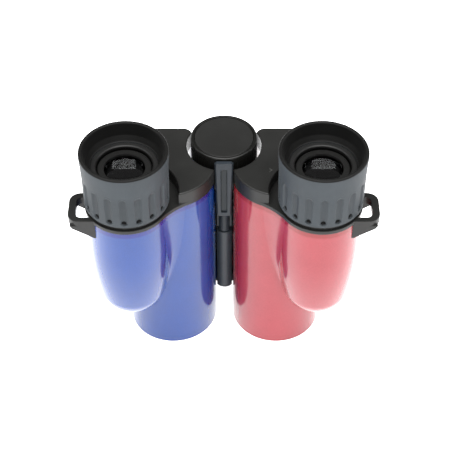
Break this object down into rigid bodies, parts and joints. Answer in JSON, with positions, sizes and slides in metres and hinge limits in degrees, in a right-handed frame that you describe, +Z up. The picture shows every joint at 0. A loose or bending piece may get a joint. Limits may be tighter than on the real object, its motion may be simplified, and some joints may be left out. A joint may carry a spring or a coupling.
{
  "type": "binoculars",
  "caption": "Compact folding reverse-porro binoculars with rubber eyecups, a centre focus wheel, a dioptre collar and strap loops.",
  "frame": {"origin": "centre of the footprint, on the plane the two objective ends stand on", "axes": "+Z up along the optical axes towards the eyecups, +X across from the left barrel to the right barrel, -Y towards the side the eyepieces are offset to"},
  "size_m": [0.0946, 0.0449, 0.0862],
  "materials": {
    "anodised_ring": "black anodised, turned",
    "bridge_grey": "satin blue-grey moulding",
    "cage_plastic": "glass-filled moulding",
    "coated_glass": "coated lens glass",
    "collar_black": "matte moulded",
    "cover_black": "fine satin grain",
    "cup_rubber": "soft matte rubber",
    "hinge_steel": "turned and polished",
    "index_paint": "pale paint fill",
    "inlay_dark": "satin strip",
    "knob_black": "satin black with fine ribs",
    "knob_cap_dark": "fine matte disc",
    "left_shell_lacquer": "high-gloss deep blue lacquer",
    "nut_brass": "turned brass",
    "prism_glass": "polished prism glass",
    "right_shell_lacquer": "high-gloss deep red lacquer",
    "screw_steel": "blackened small screws",
    "sleeve_plastic": "matte, greased sliding fit",
    "spool_plastic": "self-lubricating plastic",
    "spring_steel": "thin sprung strip",
    "tube_black": "matte, anti-reflection"
  },
  "bodies": {
    "bridge": {"hinge_tube": "hinge_steel", "hinge_end_screw": "hinge_steel", "hinge_lower_link": "bridge_grey", "bridge_column": "bridge_grey", "column_inlay": "inlay_dark", "hinge_washer": "hinge_steel"},
    "focus_wheel": {"focus_knob": "knob_black", "focus_knob_cap": "knob_cap_dark", "focus_screw": "hinge_steel"},
    "focus_carriage": {"focus_nut": "nut_brass", "focus_spool": "spool_plastic"},
    "left_barrel": {"left_barrel_shell": "left_shell_lacquer", "left_top_cover": "cover_black", "left_front_ring": "anodised_ring", "left_upper_prism": "prism_glass", "left_lower_prism": "prism_glass", "left_prism_cage": "cage_plastic", "left_upper_prism_clip": "spring_steel", "left_lower_prism_clip": "spring_steel", "left_eyepiece_base": "collar_black", "left_eyepiece_screw_a": "screw_steel", "left_eyepiece_screw_b": "screw_steel", "left_eyepiece_screw_c": "screw_steel", "left_eyepiece_tube": "tube_black", "left_eye_lens": "coated_glass", "left_eye_spacer": "tube_black", "left_field_lens": "coated_glass", "left_field_stop": "anodised_ring", "left_cup_carrier": "collar_black", "left_eyecup": "cup_rubber"},
    "left_objective": {"left_objective_sleeve": "sleeve_plastic", "left_objective_front_lens": "coated_glass", "left_objective_rear_lens": "coated_glass", "left_objective_retainer": "anodised_ring"},
    "right_barrel": {"right_barrel_shell": "right_shell_lacquer", "right_top_cover": "cover_black", "right_front_ring": "anodised_ring", "right_upper_prism": "prism_glass", "right_lower_prism": "prism_glass", "right_prism_cage": "cage_plastic", "right_upper_prism_clip": "spring_steel", "right_lower_prism_clip": "spring_steel", "right_eyepiece_base": "collar_black", "right_eyepiece_screw_a": "screw_steel", "right_eyepiece_screw_b": "screw_steel", "right_eyepiece_screw_c": "screw_steel", "diopter_index": "index_paint"},
    "right_objective": {"right_objective_sleeve": "sleeve_plastic", "right_objective_front_lens": "coated_glass", "right_objective_rear_lens": "coated_glass", "right_objective_retainer": "anodised_ring"},
    "right_eyepiece": {"right_eyepiece_tube": "tube_black", "right_eye_lens": "coated_glass", "right_eye_spacer": "tube_black", "right_field_lens": "coated_glass", "right_field_stop": "anodised_ring"},
    "diopter_collar": {"diopter_ring": "collar_black", "right_eyecup": "cup_rubber"}
  },
  "joints": [
    {"name": "left_barrel_fold", "type": "hinge", "parent": "bridge", "child": "left_barrel", "pos_m": [0, 0.01223, 0.035], "axis": [0, 0, -1], "range_deg": [0, 20]},
    {"name": "right_barrel_fold", "type": "hinge", "parent": "bridge", "child": "right_barrel", "pos_m": [0, 0.01223, 0.035], "axis": [0, 0, 1], "range_deg": [0, 20]},
    {"name": "focus_wheel_turn", "type": "hinge", "parent": "bridge", "child": "focus_wheel", "pos_m": [0, 0.01223, 0.065], "axis": [0, 0, 1], "range_deg": [-150, 150]},
    {"name": "focus_carriage_slide", "type": "slide", "parent": "bridge", "child": "focus_carriage", "axis": [0, 0, 1], "range_m": [-0.0015, 0.0015]},
    {"name": "left_objective_slide", "type": "slide", "parent": "left_barrel", "child": "left_objective", "axis": [0, 0, 1], "range_m": [-0.0015, 0.0015]},
    {"name": "right_objective_slide", "type": "slide", "parent": "right_barrel", "child": "right_objective", "axis": [0, 0, 1], "range_m": [-0.0015, 0.0015]},
    {"name": "diopter_turn", "type": "hinge", "parent": "right_barrel", "child": "diopter_collar", "pos_m": [0.02956, -0.0089, 0.073], "axis": [0, 0, 1], "range_deg": [-50, 50]},
    {"name": "right_eyepiece_slide", "type": "slide", "parent": "right_barrel", "child": "right_eyepiece", "axis": [0, 0, 1], "range_m": [-0.0009, 0.0009]}
  ],
  "couplings": [
    {"joint": "right_barrel_fold", "follows": "left_barrel_fold", "ratio": 1},
    {"joint": "focus_wheel_turn", "follows": "focus_carriage_slide", "rad_per_m": 1745.3},
    {"joint": "left_objective_slide", "follows": "focus_carriage_slide", "ratio": 1},
    {"joint": "right_objective_slide", "follows": "focus_carriage_slide", "ratio": 1},
    {"joint": "diopter_turn", "follows": "right_eyepiece_slide", "rad_per_m": 969.62}
  ]
}
